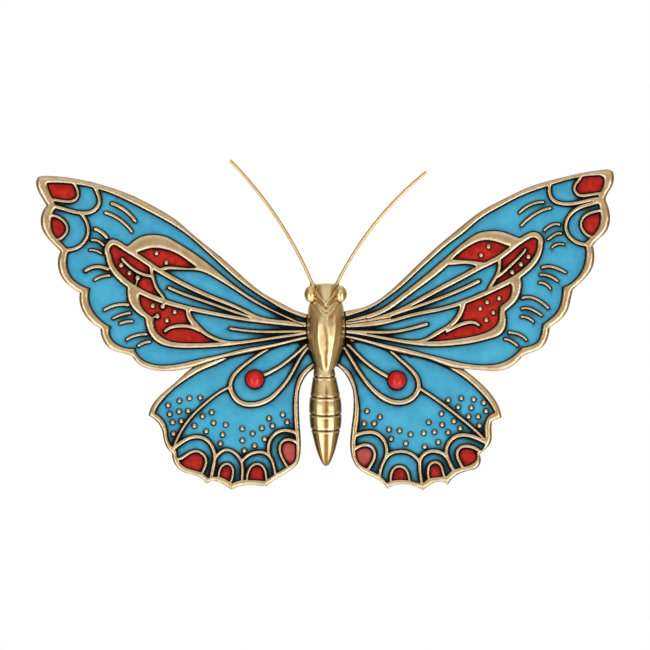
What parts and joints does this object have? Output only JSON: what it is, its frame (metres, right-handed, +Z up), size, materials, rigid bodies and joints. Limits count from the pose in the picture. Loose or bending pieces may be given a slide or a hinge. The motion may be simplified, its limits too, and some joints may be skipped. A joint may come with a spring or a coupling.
{
  "type": "butterfly ornament",
  "caption": "Butterfly wall ornament with cast gilt wings, turquoise and red enamel in raised cells, a ringed metal body, wire antennae and a keyhole hanger on the back.",
  "frame": {"origin": "centre of the keyhole's round end, on the wall plane", "axes": "+X to the viewer's right along the wingspan, +Y into the wall, +Z up towards the head"},
  "size_m": [0.2887, 0.0252, 0.1655],
  "materials": {
    "wing_gilt": "satin gilt casting with a dark wash in the corners",
    "turquoise_enamel": "glossy cold enamel, washed dark along the ribs",
    "red_enamel": "glossy cold enamel, darker at its edges",
    "red_bead": "polished opaque glass cabochon",
    "body_gilt": "polished gilt",
    "wire_gilt": "drawn gilt wire",
    "plate_steel": "zinc plated",
    "screw_steel": "zinc plated",
    "bumper_rubber": "matt black"
  },
  "bodies": {
    "root": {"forewing_left_casting": "wing_gilt", "forewing_right_casting": "wing_gilt", "hindwing_left_casting": "wing_gilt", "hindwing_right_casting": "wing_gilt", "forewing_left_turquoise_enamel": "turquoise_enamel", "forewing_right_turquoise_enamel": "turquoise_enamel", "hindwing_left_turquoise_enamel": "turquoise_enamel", "hindwing_right_turquoise_enamel": "turquoise_enamel", "forewing_left_red_enamel": "red_enamel", "forewing_right_red_enamel": "red_enamel", "hindwing_left_red_enamel": "red_enamel", "hindwing_right_red_enamel": "red_enamel", "eyespot_bead_left": "red_bead", "eyespot_bead_right": "red_bead", "thorax": "body_gilt", "head": "body_gilt", "abdomen": "body_gilt", "eye_left": "body_gilt", "eye_right": "body_gilt", "antenna_left": "wire_gilt", "antenna_right": "wire_gilt", "spine_plate": "plate_steel", "hanger_plate": "plate_steel", "wing_screws": "screw_steel", "body_screws": "screw_steel", "hanger_screws": "screw_steel", "wall_bumper": "bumper_rubber"}
  },
  "joints": []
}
